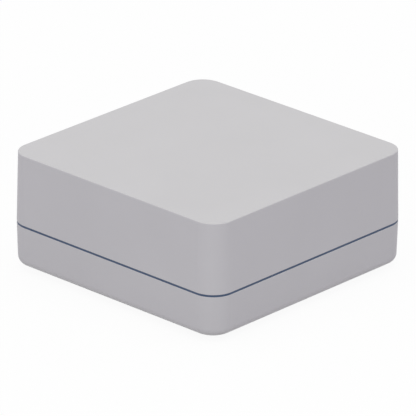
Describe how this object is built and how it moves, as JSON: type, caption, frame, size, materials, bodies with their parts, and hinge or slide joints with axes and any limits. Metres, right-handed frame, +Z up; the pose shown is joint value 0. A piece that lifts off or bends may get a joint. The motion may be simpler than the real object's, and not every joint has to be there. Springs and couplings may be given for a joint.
{
  "type": "signal repeater",
  "caption": "Low square table-top radio signal repeater: pale two-part housing with a flush dark seam gasket, rear power port, pairing button and status light.",
  "frame": {"origin": "on the table under the middle of the part, at the bottom centre of its box", "axes": "+Z up, +Y out of the rear wall that holds the port, button and light, +X to the button's side"},
  "size_m": [0.07, 0.07, 0.0309],
  "materials": {
    "housing_plastic": "fine satin moulded polycarbonate-ABS, pale warm grey",
    "gasket_rubber": "matt slate-blue elastomer",
    "foot_rubber": "matt dark grey elastomer",
    "screw_steel": "zinc-plated steel",
    "board_laminate": "glass-epoxy laminate under green solder mask",
    "port_steel": "nickel-plated stainless steel",
    "port_insulator": "black glass-filled nylon",
    "contact_gold": "gold-plated copper alloy",
    "button_plastic": "satin moulded ABS, mid grey",
    "switch_plastic": "black glass-filled nylon",
    "plunger_plastic": "natural nylon",
    "tinned_steel": "tin-plated steel sheet",
    "light_pipe": "frosted clear polycarbonate",
    "led_package": "white ceramic-filled resin",
    "chip_epoxy": "black moulding compound",
    "filter_ceramic": "glazed alumina",
    "ferrite": "pressed ferrite powder",
    "fuse_polymer": "conductive polymer laminate",
    "capacitor_aluminium": "drawn aluminium can",
    "capacitor_base": "black heat-resistant nylon",
    "capacitor_ceramic": "fired tan ceramic",
    "resistor_glaze": "black glass glaze on alumina",
    "antenna_sheet": "tin-plated phosphor bronze sheet"
  },
  "bodies": {
    "housing": {"antenna_filter": "filter_ceramic", "base_housing": "housing_plastic", "board_screws": "screw_steel", "capacitor_bases": "capacitor_base", "capacitor_cans": "capacitor_aluminium", "crystal_can": "tinned_steel", "front_antenna": "antenna_sheet", "housing_screws": "screw_steel", "left_antenna": "antenna_sheet", "main_board": "board_laminate", "memory_chip": "chip_epoxy", "memory_lead_frame": "tinned_steel", "power_inductor": "ferrite", "processor_chip": "chip_epoxy", "processor_lead_frame": "tinned_steel", "radio_chip": "chip_epoxy", "resettable_fuse": "fuse_polymer", "rf_shield_fence": "tinned_steel", "rf_shield_lid": "tinned_steel", "rubber_feet": "foot_rubber", "seam_gasket": "gasket_rubber", "small_capacitors": "capacitor_ceramic", "small_resistors": "resistor_glaze", "status_led": "led_package", "status_light_pipe": "light_pipe", "surge_protector": "chip_epoxy", "switch_body": "switch_plastic", "switch_cover": "tinned_steel", "upper_housing": "housing_plastic", "usb_c_contacts": "contact_gold", "usb_c_insulator": "port_insulator", "usb_c_shell": "port_steel", "voltage_regulator": "chip_epoxy"},
    "button": {"pairing_button": "button_plastic"},
    "plunger": {"switch_plunger": "plunger_plastic"}
  },
  "joints": [
    {"name": "button_press", "type": "slide", "parent": "housing", "child": "button", "axis": [0, -1, 0], "range_m": [0, 0.0003], "stiffness_N_per_m": 1000, "springref_m": -0.0006},
    {"name": "plunger_press", "type": "slide", "parent": "housing", "child": "plunger", "axis": [0, -1, 0], "range_m": [0, 0.0003]}
  ],
  "couplings": [
    {"joint": "plunger_press", "follows": "button_press", "ratio": 1}
  ]
}
